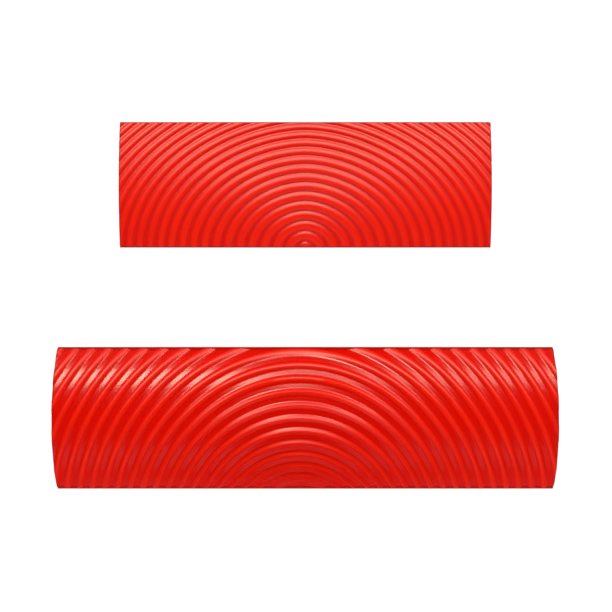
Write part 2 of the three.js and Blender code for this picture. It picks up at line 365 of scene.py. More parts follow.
def baked_copy(carrier: bpy.types.Object, name: str) -> bpy.types.Object:
    """Turns an object with live modifiers into a plain mesh object.

    Args:
        carrier: The object, which is removed.
        name: The new piece's name.

    Returns:
        The piece, at the origin, with no modifiers.
    """
    bpy.context.view_layer.update()
    shown = carrier.evaluated_get(bpy.context.evaluated_depsgraph_get())
    mesh = bpy.data.meshes.new_from_object(shown)
    mesh.name = name
    bpy.data.objects.remove(carrier)
    return placed(name, mesh)


# Materials

class Mark(Enum):
    """The values that a pad's mesh carries for its material: where shade is painted into the
    grooves and at the rims, and where the grooves' floors are glossier.
    """

    # Painted shade: marks the grooves, whose tone is darkened where shade falls in them
    GROOVE = "groove"
    GLOSS = "gloss"
    # Painted shade: marks the rims at the pad's edges, whose tone is darkened where the edges turn
    # away from the light
    RIM = "rim"


class ShaderMaker(NodeMaker):
    """Builds one material round a Principled BSDF."""

    def __init__(self, name: str) -> None:
        """Makes the material.

        Args:
            name: The material's name.
        """
        self.material = bpy.data.materials.new(name)
        self.material.use_nodes = True
        super().__init__(self.material.node_tree)
        self.shader = self.tree.nodes["Principled BSDF"]
        place = self.node("ShaderNodeTexCoord")
        self.place = Term(self, self.socket_of(place.outputs, "Object"))

    def noise(self, noise: "Noise") -> Term:
        """Gives noise from 0 to 1 on the object's own coordinates.

        Args:
            noise: Its sizes, of which the stretch makes it longer along X.

        Returns:
            The noise.
        """
        scale = [1 / (noise.size * MM * along) for along in (noise.stretch, 1.0, 1.0)]
        point = self.term("ShaderNodeVectorMath", {0: self.place, 1: scale}, operation="MULTIPLY")
        inputs = {"Vector": point, "Scale": 1.0, "Detail": noise.detail}
        return self.term("ShaderNodeTexNoise", inputs)

    def marked(self, mark: Mark) -> Term:
        """Gives a value that the mesh carries, from 0 to 1."""
        value = self.term("ShaderNodeAttribute", output="Fac", attribute_name=mark.value)
        return self.clamped(value)

    def blend(self, share: Number, start: Union[Colour, Term], end: Union[Colour, Term]) -> Term:
        """Mixes two colours.

        Args:
            share: How much of the second colour there is, from 0 to 1.
            start: The first colour.
            end: The second colour.

        Returns:
            The mixed colour.
        """
        first, second = (c if isinstance(c, Term) else (*c, 1.0) for c in (start, end))
        inputs = {"Factor_Float": share, "A_Color": first, "B_Color": second}
        return self.term("ShaderNodeMix", inputs, output="Result_Color", data_type="RGBA")

    def bump(self, height: Term, depth: float) -> Term:
        """Turns a height from 0 to 1 into a normal, for a relief as deep as given, in mm."""
        inputs = {"Strength": 1.0, "Distance": depth * MM, "Height": height}
        return self.term("ShaderNodeBump", inputs)

    def dress(self, **values: SocketValue) -> bpy.types.Material:
        """Sets or links the shader's sockets, named with underscores for spaces.

        Args:
            values: The value or link of each socket.

        Returns:
            The finished material.
        """
        for label, value in values.items():
            self.feed(self.shader.inputs[label.replace("_", " ")], value)
        return self.material


def linear(red: int, green: int, blue: int) -> Colour:
    """Turns a screen colour, from 0 to 255, into the scene's linear values (sRGB curve)."""
    shares = (red / 255, green / 255, blue / 255)
    return tuple(c / 12.92 if c <= 0.04045 else ((c + 0.055) / 1.055) ** 2.4 for c in shares)


@dataclass(frozen=True)
class Noise:
    """Unevenness: its size in millimetres, its effect on the roughness and its finer layers."""

    size: float
    spread: float
    detail: float
    stretch: float = 1.0


@dataclass(frozen=True)
class PatchyFinish:
    """What the finishes share: two tones in patches, uneven roughness and a fine relief."""

    main: Colour
    patch: Colour
    patch_edges: Pair
    patches: Noise
    grain: Noise
    roughness: float
    relief_depth: float
    patch_relief: float = 0.0
    metallic: float = 0.0
    specular: float = 0.5

    def material(self, name: str) -> bpy.types.Material:
        """Builds the material.

        Args:
            name: The material's name.

        Returns:
            The material.
        """
        maker = ShaderMaker(name)
        patches, grain = maker.noise(self.patches), maker.noise(self.grain)
        share = maker.ramp(patches, *self.patch_edges, 0.0, 1.0)
        tone, rough = self.varied(maker, maker.blend(share, self.main, self.patch))
        uneven = (patches - 0.5) * self.patches.spread + (grain - 0.5) * self.grain.spread
        relief = grain * (1.0 - self.patch_relief) + patches * self.patch_relief
        return maker.dress(
            Base_Color=tone,
            Roughness=rough + uneven,
            Metallic=self.metallic,
            Specular_IOR_Level=self.specular,
            Normal=maker.bump(relief, self.relief_depth),
        )

    def varied(self, _: ShaderMaker, tone: Term) -> tuple[Term, Number]:
        """Gives the tone and the roughness, which here don't follow any mark."""
        return tone, self.roughness


@dataclass(frozen=True)
class RubberFinish(PatchyFinish):
    """Satin red rubber, with shade painted into its tone in the grooves and at the trimmed rims.
    """

    main: Colour = linear(228, 24, 0)
    patch: Colour = linear(223, 19, 0)
    # Painted shade: the darker tone in the grooves' recesses
    groove: Colour = linear(203, 10, 0)
    # Painted shade: the dark tone at the pad's rims, and how much of it is mixed in
    rim: Colour = linear(140, 8, 0)
    rim_share: float = 0.8
    roughness: float = 0.4
    floor_roughness: float = 0.22
    patch_edges: Pair = (0.35, 0.7)
    patches: Noise = Noise(7.0, spread=0.12, detail=3.0)
    grain: Noise = Noise(0.35, spread=0.08, detail=3.0)
    relief_depth: float = 0.02
    patch_relief: float = 0.3
    specular: float = 0.16

    def varied(self, maker: ShaderMaker, tone: Term) -> tuple[Term, Number]:
        """Paints shade into the tone in grooves and at rims, and makes the grooves' floors
        glossier.

        Args:
            maker: The material's maker.
            tone: The rubber's own tone.

        Returns:
            The tone and the roughness.
        """
        # Painted shade in the grooves
        tone = maker.blend(maker.marked(Mark.GROOVE), tone, self.groove)
        # Painted shade at the rims
        tone = maker.blend(maker.marked(Mark.RIM) * self.rim_share, tone, self.rim)
        change = self.floor_roughness - self.roughness
        return tone, self.roughness + change * maker.marked(Mark.GLOSS)


@dataclass(frozen=True)
class PlasticFinish(PatchyFinish):
    """Moulded plastic with a fine spark texture and faint flow marks."""

    main: Colour = linear(196, 22, 12)
    patch: Colour = linear(176, 16, 9)
    roughness: float = 0.48
    patch_edges: Pair = (0.3, 0.7)
    patches: Noise = Noise(14.0, spread=0.16, detail=3.0, stretch=3.0)
    grain: Noise = Noise(0.22, spread=0.14, detail=2.0)
    relief_depth: float = 0.012


@dataclass(frozen=True)
class SteelFinish(PatchyFinish):
    """Bright zinc plating with duller clouds and a fine grain."""

    main: Colour = (0.62, 0.63, 0.65)
    patch: Colour = (0.47, 0.48, 0.5)
    roughness: float = 0.3
    patch_edges: Pair = (0.3, 0.75)
    patches: Noise = Noise(1.6, spread=0.2, detail=4.0)
    grain: Noise = Noise(0.12, spread=0.1, detail=2.0)
    relief_depth: float = 0.004
    metallic: float = 1.0


class Finish(Enum):
    """The three finishes of the tools, with their materials' names."""

    RUBBER = "red_rubber"
    PLASTIC = "red_plastic"
    STEEL = "plated_steel"


def finish_materials() -> dict[Finish, bpy.types.Material]:
    """Builds the material of every finish."""
    looks = (RubberFinish(), PlasticFinish(), SteelFinish())
    return {kind: look.material(kind.value) for kind, look in zip(Finish, looks)}


# The tools

@dataclass(frozen=True)
class Rings:
    """The heart rings: how they widen and what shape they have, seen square on.

    The heart lies offset from the tool's middle and drop past its edge. The squash is the
    rings' width for a height of 1, and a roundness of 2 makes them ellipses.
    """

    heart_offset: float
    heart_drop: float
    heart_radius: float
    heart_pitch: float
    outer_pitch: float
    settle_rings: float
    squash: float
    roundness: float
    count: int


@dataclass(frozen=True)
class Ridges:
    """The grooves between the ridges, and how much the ridges' tops are rounded."""

    groove_depth: float
    groove_width: float
    floor_width: float
    crown: float
    floor_gloss: float = 0.0


@dataclass(frozen=True)
class PadBody:
    """The rubber under the ridges, with the hems that hook round the backing.

    The field is the ridged part. Its joint with a hem is hidden inside the rubber.
    """

    thickness: float
    hem_sink: float
    hem_thickness: float
    hem_round: float
    lip_reach: float
    backing: float
    bond: float = 0.3
    field_margin: float = 0.15
    edge_round: float = 0.35
    joint_width: float = 0.4
    joint_sink: float = 0.05
    # The width of the band of painted shade at the rims
    rim_width: float = 0.3


@dataclass(frozen=True)
class ScrewSizes:
    """One screw, in millimetres: a pan head with a cross recess on a threaded shank."""

    head_radius: float = 3.0
    head_height: float = 2.2
    head_round: float = 0.7
    recess_width: float = 0.9
    recess_reach: float = 1.9
    recess_depth: float = 1.3
    core_radius: float = 1.15
    thread_radius: float = 1.5
    thread_pitch: float = 1.3
    sink: float = 3.0
    point: float = 2.0


@dataclass(frozen=True)
class ToolSizes:
    """One tool, in millimetres."""

    name: str
    centre_y: float
    length: float
    width: float
    arch_radius: float
    axis_height: float
    rings: Rings
    ridges: Ridges
    pad: PadBody
    screw_count: int
    screw_pitch: float
    screw_top: float


LARGE = ToolSizes(
    name="large",
    centre_y=-28.65,
    length=127.0,
    width=36.4,
    arch_radius=22.0,
    axis_height=11.7,
    rings=Rings(-1.5, 15.27, 13.75, 2.235, 3.19, 5.39, 0.892, 1.984, count=24),
    ridges=Ridges(0.65, 2.64, 1.1, crown=0.09, floor_gloss=1.0),
    pad=PadBody(3.2, 0.55, 1.3, 0.4, 2.6, backing=2.0),
    screw_count=3,
    screw_pitch=38.0,
    screw_top=27.2,
)

SMALL = ToolSizes(
    name="small",
    centre_y=30.9,
    length=94.2,
    width=31.9,
    arch_radius=48.0,
    axis_height=-17.9,
    rings=Rings(0.0, 0.176, 2.179, 3.319, 1.655, 23.98, 1.272, 1.819, count=25),
    ridges=Ridges(0.43, 1.95, 0.1, crown=0.05),
    pad=PadBody(2.8, 0.45, 1.2, 0.4, 2.4, backing=1.8),
    screw_count=2,
    screw_pitch=50.0,
    screw_top=25.0,
)


# Numbers of the ridged pad's tree
MARK_REACH = 1.02  # of the grooves' depth
PAD_CREASE = 40.0  # degrees, the largest turn between smooth faces
ROW_NUDGE = 1e-4  # rings, so that rounding puts no row in the ring before
WIDEST_GROOVE = 0.49  # of its ring, on either side
HEART_ROW, HEART_SPREAD = 1.2, 6e-4  # rings, metres for each ring: a row's least radius


def ridged_pad_tree() -> GeometryMaker:
    """Builds the tree that turns a flat mould into a ridged pad bent over its arch.

    The mould holds two hems and an envelope, which carries a point attribute. The ridges
    start as a sheet whose rows follow the rings. The sheet gets its relief, becomes a slab
    that reaches past the field, is cut to the envelope, joins the hems and is bent.

    Returns:
        The tree's maker.
    """
    tree = GeometryMaker("ridged pad")
    size = tree.size
    relief = ring_relief(tree)
    base = tree.term("GeometryNodeFlipFaces", {0: relief})
    down = {0: base, 2: (0.0, 0.0, -1.0), 3: 2.0 * size("Thickness"), 4: False}
    sunk = tree.term("GeometryNodeExtrudeMesh", down, mode="FACES")
    slab = tree.welded(tree.joined(relief, sunk))
    is_envelope = tree.term("GeometryNodeInputNamedAttribute", {"Name": ENVELOPE_MARK})
    inputs = {0: Term(tree, tree.entry.outputs[0]), 1: is_envelope > 0.5}
    mould = tree.node("GeometryNodeSeparateGeometry", inputs)
    field = tree.boolean("INTERSECT", slab, Term(tree, mould.outputs[0]))
    whole = tree.boolean("UNION", field, Term(tree, mould.outputs[1]))

    # Marks for the material, read from the place in the flat pad: where shade is painted into the
    # grooves and at the rims, and where the grooves' floors are glossier
    x, y, z = tree.axes(tree.term("GeometryNodeInputPosition"))
    depth = size("Thickness") - z
    groove = tree.ramp(depth, size("Crown"), size("Groove Depth"), 0.0, 1.0)
    in_relief = depth < size("Groove Depth") * MARK_REACH
    to_end = size("Length") / 2.0 - tree.math("ABSOLUTE", x)
    to_side = size("Edge Width") / 2.0 - tree.math("ABSOLUTE", y)
    hem_width = (size("Edge Width") - size("Field Width")) / 2.0
    # How far the painted rim shade reaches in from the ends and the sides
    end_shade = tree.ramp(to_end, 0.0, size("Rim Width"), 1.0, 0.0)
    side_shade = tree.ramp(to_side, 0.0, hem_width + size("Rim Width"), 1.0, 0.0)
    marked = tree.stored(whole, Mark.GROOVE, groove * in_relief)
    marked = tree.stored(marked, Mark.GLOSS, groove * in_relief * size("Floor Gloss"))
    marked = tree.stored(marked, Mark.RIM, tree.math("MAXIMUM", end_shade, side_shade))

    # The bend over the arch keeps each point's distance from the tool's middle in the plan
    lean = tree.math("ARCSINE", y / size("Arch Radius"))
    height = size("Arch Radius") - size("Thickness") + z
    place = tree.vector(
        x,
        size("Centre Y") + height * tree.math("SINE", lean),
        size("Axis Height") + height * tree.math("COSINE", lean),
    )
    tree.close(tree.smooth(tree.reset(marked, place), PAD_CREASE))
    return tree


def ring_relief(tree: GeometryMaker) -> Term:
    """Adds the sheet of heart rings to the ridged pad's tree.

    The distance between the rings' grooves settles from the heart's pitch to the outer pitch.

    Args:
        tree: The ridged pad's tree.

    Returns:
        The sheet, with each ring a little more than its part of the field.
    """
    size = tree.size
    sheet, across, along = tree.grid(size("Columns", "Int"), size("Rows", "Int"))
    ring = (along + 0.5) * size("Rings", "Int") - 1.0
    step = tree.math("FLOOR", ring + ROW_NUDGE)
    ratio = size("Pitch Ratio")
    widening = size("Heart Pitch") - size("Outer Pitch")

    def groove_radius(index: Term) -> Term:
        """Gives the radius of the middle of a groove, counted from the heart."""
        settled = (1.0 - ratio ** index) / (1.0 - ratio)
        return size("Heart Radius") + size("Outer Pitch") * index + widening * settled

    inner = groove_radius(step)
    outer = groove_radius(step + 1.0)
    part = ring - step
    crowd = size("Row Crowding") / math.tau
    spread = part - crowd * tree.math("SINE", part * math.tau)
    innermost = (ring + HEART_ROW) * HEART_SPREAD
    radius = tree.math("MAXIMUM", inner + (outer - inner) * spread, innermost)

    # A groove on each ring, and a slightly rounded land between two grooves
    aside = tree.math("MINIMUM", radius - inner, outer - radius)
    half_groove = tree.math("MINIMUM", size("Groove Width") / 2.0, (outer - inner) * WIDEST_GROOVE)
    groove = tree.ramp(aside, size("Floor Width") / 2.0, half_groove, 1.0, 0.0)
    land = tree.share(aside, half_groove, (outer - inner) / 2.0)
    drop = size("Crown") * (1.0 - land) ** 2.0 + groove * (size("Groove Depth") - size("Crown"))

    # Each row's place in the plan: an ellipse whose corners are a little rounder or squarer
    turn = (0.5 - across) * math.pi
    roundness = size("Roundness")
    cosine = tree.math("COSINE", turn)
    sine = tree.math("SINE", turn)
    corner = tree.math("ABSOLUTE", cosine) ** roundness + sine ** roundness
    reach = radius / corner ** (1.0 / roundness)
    flat_y = reach * sine / size("Squash") - size("Heart Drop") - size("Width") / 2.0
    place = tree.vector(size("Heart Offset") + reach * cosine, flat_y, size("Thickness") - drop)
    return tree.reset(sheet, place)


# Numbers of the screws' tree
HEAD_ROWS, HEAD_COLUMNS, CONE_CORNERS, SHANK_COLUMNS = 21, 48, 16, 24
FACE_END, EDGE_END, SIDE_END = 0.2, 0.7, 0.8  # of the head's outline
CONE_TOP, CONE_BASE, CONE_DEPTH = 0.45, 1.15, 1.3  # of the recess' width, width and depth
SHANK_OVERLAP = 0.18  # of the head's height
TOOTH_START, TOOTH_END = 0.3, 0.8  # of the way up a sharp thread, to its root and its crest
SCREW_CREASE = 38.0  # degrees, the largest turn between smooth faces


def screw_row_tree() -> GeometryMaker:
    """Builds the tree that sets a row of screws.

    One head with a cross recess and one threaded shank are turned and joined. They are
    instanced along a line, and each screw is turned a little further than the last.

    Returns:
        The tree's maker.
    """
    tree = GeometryMaker("screw row")
    size = tree.size
    head = tree.boolean("DIFFERENCE", pan_head(tree), cross_recess(tree))
    whole = tree.boolean("UNION", head, threaded_shank(tree))
    count = size("Count", "Int")
    start = tree.vector((count - 1.0) * size("Screw Pitch") * -0.5, size("Centre Y"), 0.0)
    step = tree.vector(size("Screw Pitch"), 0.0, 0.0)
    inputs = {"Count": count, "Start Location": start, "Offset": step}
    line = tree.term("GeometryNodeMeshLine", inputs)
    screw = tree.smooth(whole, SCREW_CREASE)
    turn = tree.vector(0.0, 0.0, (tree.term("GeometryNodeInputIndex") + 1.0) * size("Turn"))
    inputs = {"Points": line, "Instance": screw, "Rotation": turn}
    tree.close(tree.term("GeometryNodeInstanceOnPoints", inputs))
    return tree


def pan_head(tree: GeometryMaker) -> Term:
    """Adds a pan head, whose face looks down from the sink.

    Args:
        tree: The screw row's tree.

    Returns:
        The head.
    """
    size = tree.size
    radius, height, round_edge = (size(f"Head {name}") for name in ("Radius", "Height", "Round"))
    sheet, across, along = tree.grid(HEAD_COLUMNS, HEAD_ROWS)
    along = along + 0.5

    # Out over the face, round its edge, up the side and back in under the head
    bend = tree.share(along, FACE_END, EDGE_END) * (math.pi / 2)
    flat = (radius - round_edge) * tree.share(along, 0.0, FACE_END)
    out = flat + round_edge * tree.math("SINE", bend)
    rise = round_edge * (1.0 - tree.math("COSINE", bend))
    side = (height - round_edge) * tree.share(along, EDGE_END, SIDE_END)
    out = out * (1.0 - tree.share(along, SIDE_END, 1.0))
    return tree.turned(sheet, across + 0.5, out, size("Sink") + rise + side)


def cross_recess(tree: GeometryMaker) -> Term:
    """Adds the solid that a screwdriver's cross takes out of the head.

    Args:
        tree: The screw row's tree.

    Returns:
        Two blades and the cone in their middle.
    """
    size = tree.size
    long, narrow, deep = size("Recess Reach") * 2.0, size("Recess Width"), size("Recess Depth")
    at_face = tree.vector(0.0, 0.0, size("Sink"))
    blades = [
        tree.term("GeometryNodeMeshCube", {"Size": tree.vector(x, y, deep * 2.0)})
        for x, y in ((long, narrow), (narrow, long))
    ]
    inputs = {
        "Vertices": CONE_CORNERS,
        "Radius Top": narrow * CONE_TOP,
        "Radius Bottom": narrow * CONE_BASE,
        "Depth": deep * CONE_DEPTH,
    }
    cone = tree.term("GeometryNodeMeshCone", inputs)
    before_face = tree.vector(0.0, 0.0, size("Sink") - deep * ((CONE_DEPTH - 1.0) / 2.0))
    blades = [tree.moved(blade, at_face) for blade in blades]
    return tree.boolean("UNION", *blades, tree.moved(cone, before_face))


def threaded_shank(tree: GeometryMaker) -> Term:
    """Adds the shank with its thread, from inside the head up to the point.

    Args:
        tree: The screw row's tree.

    Returns:
        The shank.
    """
    size = tree.size
    rows = size("Thread Rows", "Int")
    step = 1.0 / (rows - 1.0)
    under_head = size("Sink") + size("Head Height")
    start = under_head - size("Head Height") * SHANK_OVERLAP
    sheet, across, along = tree.grid(SHANK_COLUMNS, rows)
    along, turn = along + 0.5, across + 0.5

    # A right-hand thread that fades in under the head and ends in a point
    height = start + (size("Screw Top") - start) * tree.share(along, step, 1.0)
    phase = tree.math("FRACT", height / size("Thread Pitch") + (1.0 - turn))
    tooth = 1.0 - tree.math("ABSOLUTE", phase * 2.0 - 1.0)
    tooth = tree.share(tooth, TOOTH_START, TOOTH_END)
    tooth = tooth * tree.clamped((height - under_head) / size("Thread Pitch"))
    radius = size("Core Radius") + (size("Thread Radius") - size("Core Radius")) * tooth
    taper = tree.clamped((size("Screw Top") - height) / size("Point"))
    return tree.turned(sheet, turn, radius * taper * (along > step * 0.5), height)


@dataclass(frozen=True)
class Station:
    """One section of a lofted solid: its place along X and its outline in (y, z)."""

    x: float
    outline: Sequence[Pair]


def loft_mesh(
    name: str, solids: Sequence[Sequence[Station]], marks: Sequence[float]
) -> bpy.types.Mesh:
    """Makes closed solids that run along X through sections with equally many points.

    Args:
        name: The mesh's name.
        solids: The sections of each solid, in millimetres.
        marks: The value of the envelope mark on each solid.

    Returns:
        The mesh, in metres.
    """
    shape = bmesh.new()
    mark_layer = shape.verts.layers.float.new(ENVELOPE_MARK)
    for stations, mark in zip(solids, marks):
        rings = [
            [shape.verts.new((station.x * MM, y * MM, z * MM)) for y, z in station.outline]
            for station in stations
        ]
        for vertex in sum(rings, []):
            vertex[mark_layer] = mark
        shape.faces.new(rings[0])
        shape.faces.new(reversed(rings[-1]))
        for near, far in zip(rings, rings[1:]):
            for index in range(len(near)):
                after = (index + 1) % len(near)
                shape.faces.new((near[index], far[index], far[after], near[after]))
    bmesh.ops.recalc_face_normals(shape, faces=shape.faces)
    mesh = bpy.data.meshes.new(name)
    shape.to_mesh(mesh)
    shape.free()
    return mesh


def stepped(corners: Sequence[Pair], step: float) -> list[Pair]:
    """Adds points to a closed outline so that none of its sides is longer than a step.

    Args:
        corners: The outline's corners.
        step: The longest side.

    Returns:
        The outline's points.
    """
    points: list[Pair] = []
    for (y, z), (next_y, next_z) in zip(corners, (*corners[1:], corners[0])):
        parts = max(1, math.ceil(math.hypot(next_y - y, next_z - z) / step))
        shares = [part / parts for part in range(parts)]
        points += [(y + (next_y - y) * share, z + (next_z - z) * share) for share in shares]
    return points


def lengths_of(sizes: object, *fields: str) -> dict[str, float]:
    """Turns lengths of a dataclass into values in metres of the inputs with their names."""
    return {field.replace("_", " ").title(): getattr(sizes, field) * MM for field in fields}


@dataclass(frozen=True)
class GrainTool:
    """One tool: its pad, backing, grip and screws.

    The arc step is in millimetres. The screw turn, from one screw to the next, is in radians
    and the other turns are in degrees. The crowding moves a ring's rows towards its grooves.
    """

    sizes: ToolSizes
    materials: Mapping[Finish, bpy.types.Material]
    arc_step: float = 0.35
    rows_per_ring: int = 14
    columns: int = 240
    row_crowding: float = 0.62
    rows_per_turn: int = 9
    screw_turn: float = 0.7
    end_turns: tuple[float, ...] = (12, 32, 60, 90)
    edge_turns: tuple[float, ...] = (0, 22.5, 45, 67.5, 90)
    flat_turn: float = 1.0
    bevel_turn: float = 32.0
    bevel_segments: int = 2
    sharp_turn: float = 35.0

    def node(self, part: str) -> str:
        """Gives the name of one of the tool's CAD nodes."""
        return f"{self.sizes.name}_{part}"

    def hem_outline(self) -> list[Pair]:
        """Gives one hem's section, flat like the field, with round outer corners.

        Returns:
            The section's corners, in millimetres.
        """
        sizes, pad, ridges = self.sizes, self.sizes.pad, self.sizes.ridges
        under = sizes.arch_radius - pad.thickness
        lip_outer = under - pad.bond - pad.backing - pad.bond
        hem_top = sizes.arch_radius - pad.hem_sink
        wall_angle = self.edge_angle() - pad.hem_thickness / (under - pad.bond)
        lip_angle = wall_angle - pad.lip_reach / lip_outer
        edge, wall, lip = (
            sizes.arch_radius * math.sin(angle)
            for angle in (self.edge_angle(), wall_angle, lip_angle)
        )
        field = sizes.width / 2 - pad.field_margin
        joint = pad.thickness - ridges.groove_depth - pad.joint_sink
        top = hem_top - under
        low, lip_top = lip_outer - pad.hem_thickness - under, lip_outer - under
        turn = pad.hem_round
        bulge = turn * CORNER_GAP
        return [
            (field - pad.joint_width, pad.joint_sink),
            (field - pad.joint_width, joint),
            (field - pad.joint_sink, joint),
            (field - pad.joint_sink, top),
            (edge - turn, top),
            (edge - bulge, top - bulge),
            (edge, top - turn),
            (edge, low + turn),
            (edge - bulge, low + bulge),
            (edge - turn, low),
            (lip + turn / 2, low),
            (lip, low + turn / 2),
            (lip, lip_top - turn / 4),
            (lip + turn / 4, lip_top),
            (wall, lip_top),
            (wall, pad.joint_sink),
        ]

    def edge_angle(self) -> float:
        """Gives the lean of the pad's long edge.

        Returns:
            The angle, in radians, at which the hem's round corner is half the width out.
        """
        sizes, pad = self.sizes, self.sizes.pad
        bulge = pad.hem_round * CORNER_GAP
        widest = sizes.arch_radius - pad.hem_sink - bulge
        return math.asin(sizes.width / 2 / widest + bulge / sizes.arch_radius)

    def envelope_stations(self) -> list[Station]:
        """Gives the flat field's envelope, whose upper edges and corners are rounded.

        Returns:
            The envelope's sections from one end to the other.
        """
        sizes, pad = self.sizes, self.sizes.pad
        half = sizes.width / 2 - pad.field_margin
        top = pad.thickness + pad.joint_sink
        bend_y, bend_z = half - pad.edge_round, top - pad.edge_round
        bends = [(math.cos(turn), math.sin(turn)) for turn in map(math.radians, self.edge_turns)]
        steps = math.ceil(2 * half / self.arc_step)

        # Each section is drawn in at its top and sides by its end's inset
        turns = [math.radians(turn) for turn in self.end_turns]
        insets = [pad.edge_round * (1 - math.sin(turn)) for turn in turns]
        places = [sizes.length / 2 - pad.edge_round * (1 - math.cos(turn)) for turn in turns]
        right = list(zip(places, insets))
        stations = []
        for x, inset in [(-x, inset) for x, inset in right] + right[::-1]:
            radius = pad.edge_round - inset
            arc = [(bend_y + radius * out, bend_z + radius * up) for out, up in bends]
            low = [(2 * (half - inset) * (i / steps - 0.5), 0.0) for i in range(steps + 1)]
            stations.append(Station(x, low + arc + [(-y, z) for y, z in reversed(arc)]))
        return stations

    def build_pad(self, tree: GeometryMaker) -> bpy.types.Object:
        """Makes the ridged rubber pad.

        Args:
            tree: The ridged pad's tree.

        Returns:
            The pad.
        """
        sizes, rings, ridges, pad = self.sizes, self.sizes.rings, self.sizes.ridges, self.sizes.pad
        ends = (-sizes.length / 2, sizes.length / 2)
        hem = stepped(self.hem_outline(), self.arc_step)
        hems = [
            [Station(x, [(side * y, z) for y, z in hem]) for x in ends] for side in (1, -1)
        ]
        mould = loft_mesh(self.node("mould"), [self.envelope_stations(), *hems], [1.0, 0.0, 0.0])
        values = {
            **lengths_of(sizes, "length", "width", "arch_radius", "axis_height", "centre_y"),
            **lengths_of(rings, "heart_offset", "heart_drop", "heart_radius", "heart_pitch"),
            **lengths_of(rings, "outer_pitch"),
            **lengths_of(ridges, "groove_depth", "groove_width", "floor_width", "crown"),
            **lengths_of(pad, "thickness", "rim_width"),
            "Field Width": (sizes.width - 2 * pad.field_margin) * MM,
            "Edge Width": 2 * sizes.arch_radius * math.sin(self.edge_angle()) * MM,
            "Pitch Ratio": math.exp(-1 / rings.settle_rings),
            "Squash": rings.squash,
            "Roundness": rings.roundness,
            "Row Crowding": self.row_crowding,
            "Floor Gloss": ridges.floor_gloss,
            "Rings": rings.count,
            "Rows": rings.count * self.rows_per_ring + 1,
            "Columns": self.columns,
        }
        piece = tree.bake(self.node("ridged_pad"), mould, values, self.materials[Finish.RUBBER])
        self.settle(piece, Finish.RUBBER, [self.node("grain_pad")])
        return piece

    def build_screws(self, tree: GeometryMaker, screw: ScrewSizes) -> None:
        """Makes the row of screws that hold the grip, as one mesh.

        Args:
            tree: The screw row's tree.
            screw: The sizes that every screw shares.
        """
        sizes = self.sizes
        turns = (sizes.screw_top - screw.sink - screw.head_height) / screw.thread_pitch
        values = {
            **lengths_of(screw, *vars(screw)),
            **lengths_of(sizes, "screw_top", "screw_pitch", "centre_y"),
            "Turn": self.screw_turn,
            "Count": sizes.screw_count,
            "Thread Rows": round(turns * self.rows_per_turn),
        }
        start = bpy.data.meshes.new(self.node("screw_start"))
        piece = tree.bake(self.node("screw_set"), start, values, self.materials[Finish.STEEL])
        nodes = [self.node(f"screw_{index + 1}") for index in range(sizes.screw_count)]
        self.settle(piece, Finish.STEEL, nodes)

    def build_softened(self, part: str, name: str, edge: float) -> None:
        """Makes a moulded piece from its solid, with rounded edges.

        Args:
            part: The CAD node's part name.
            name: The new piece's part name.
            edge: The radius of its edges, in millimetres.
        """
        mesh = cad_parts[self.node(part)].data.copy()
        mesh.materials.clear()
        solid = bmesh.new()
        solid.from_mesh(mesh)
        bmesh.ops.remove_doubles(solid, verts=solid.verts, dist=SEAM_WELD)
        flat = math.radians(self.flat_turn)
        bmesh.ops.dissolve_limit(solid, angle_limit=flat, verts=solid.verts, edges=solid.edges)
        solid.to_mesh(mesh)
        solid.free()
        carrier = placed(f"{name}.source", mesh)
        bevel = carrier.modifiers.new("edges", "BEVEL")
        bevel.width = edge * MM
        bevel.segments = self.bevel_segments
        bevel.limit_method = "ANGLE"
        bevel.angle_limit = math.radians(self.bevel_turn)
        piece = baked_copy(carrier, self.node(name))
        piece.data.shade_smooth()
        piece.data.set_sharp_from_angle(angle=math.radians(self.sharp_turn))
        piece.data.materials.append(self.materials[Finish.PLASTIC])
        self.settle(piece, Finish.PLASTIC, [self.node(part)])

    @staticmethod
    def settle(piece: bpy.types.Object, finish: Finish, nodes: Sequence[str]) -> None:
        """Puts a piece in the place of its CAD nodes.

        Args:
            piece: The piece.
            finish: Not used.
            nodes: The CAD nodes that it stands for.
        """
        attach(piece, ROOT_BODY)
        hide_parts(*nodes)
        LOG.info("%s: %d faces", piece.name, len(piece.data.polygons))


# The stage

WARM: Colour = (1.0, 0.93, 0.72)
PLAIN: Colour = (1.0, 1.0, 1.0)


class Role(Enum):
    """What a lamp is for: to be seen in reflections only, or to light surfaces only."""

    MIRRORED = "mirrored"
    FILL = "fill"


@dataclass(frozen=True)
class Lamp:
    """A soft rectangular lamp that faces the middle, with angles in degrees, sizes in metres."""

    name: str
    azimuth: float
    elevation: float
    distance: float
    width: float
    height: float
    radiance: float
    role: Role
    tool: str = ""

    def build(self, pads: Mapping[str, bpy.types.Object]) -> None:
        """Hangs the lamp. Its azimuth is counted from +Y towards +X.

        Args:
            pads: Each tool's pad, of which a lamp with a tool shines on that one only.
        """
        turn, rise = math.radians(self.azimuth), math.radians(self.elevation)
        aim = Vector(
            (math.cos(rise) * math.sin(turn), math.cos(rise) * math.cos(turn), math.sin(rise))
        )
        data = bpy.data.lights.new(self.name, "AREA")
        data.shape = "RECTANGLE"
        data.size = self.width
        data.size_y = self.height
        data.energy = self.radiance * math.pi * self.width * self.height
        data.color = WARM if self.role is Role.MIRRORED else PLAIN
        lamp = placed(self.name, data)
        lamp.location = aim * self.distance
        lamp.rotation_euler = aim.to_track_quat("Z", "Y").to_euler()
        lamp.visible_diffuse = self.role is Role.FILL
        lamp.visible_glossy = self.role is Role.MIRRORED
        if self.tool:
            lit = bpy.data.collections.new(self.name)
            lit.objects.link(pads[self.tool])
            lamp.light_linking.receiver_collection = lit


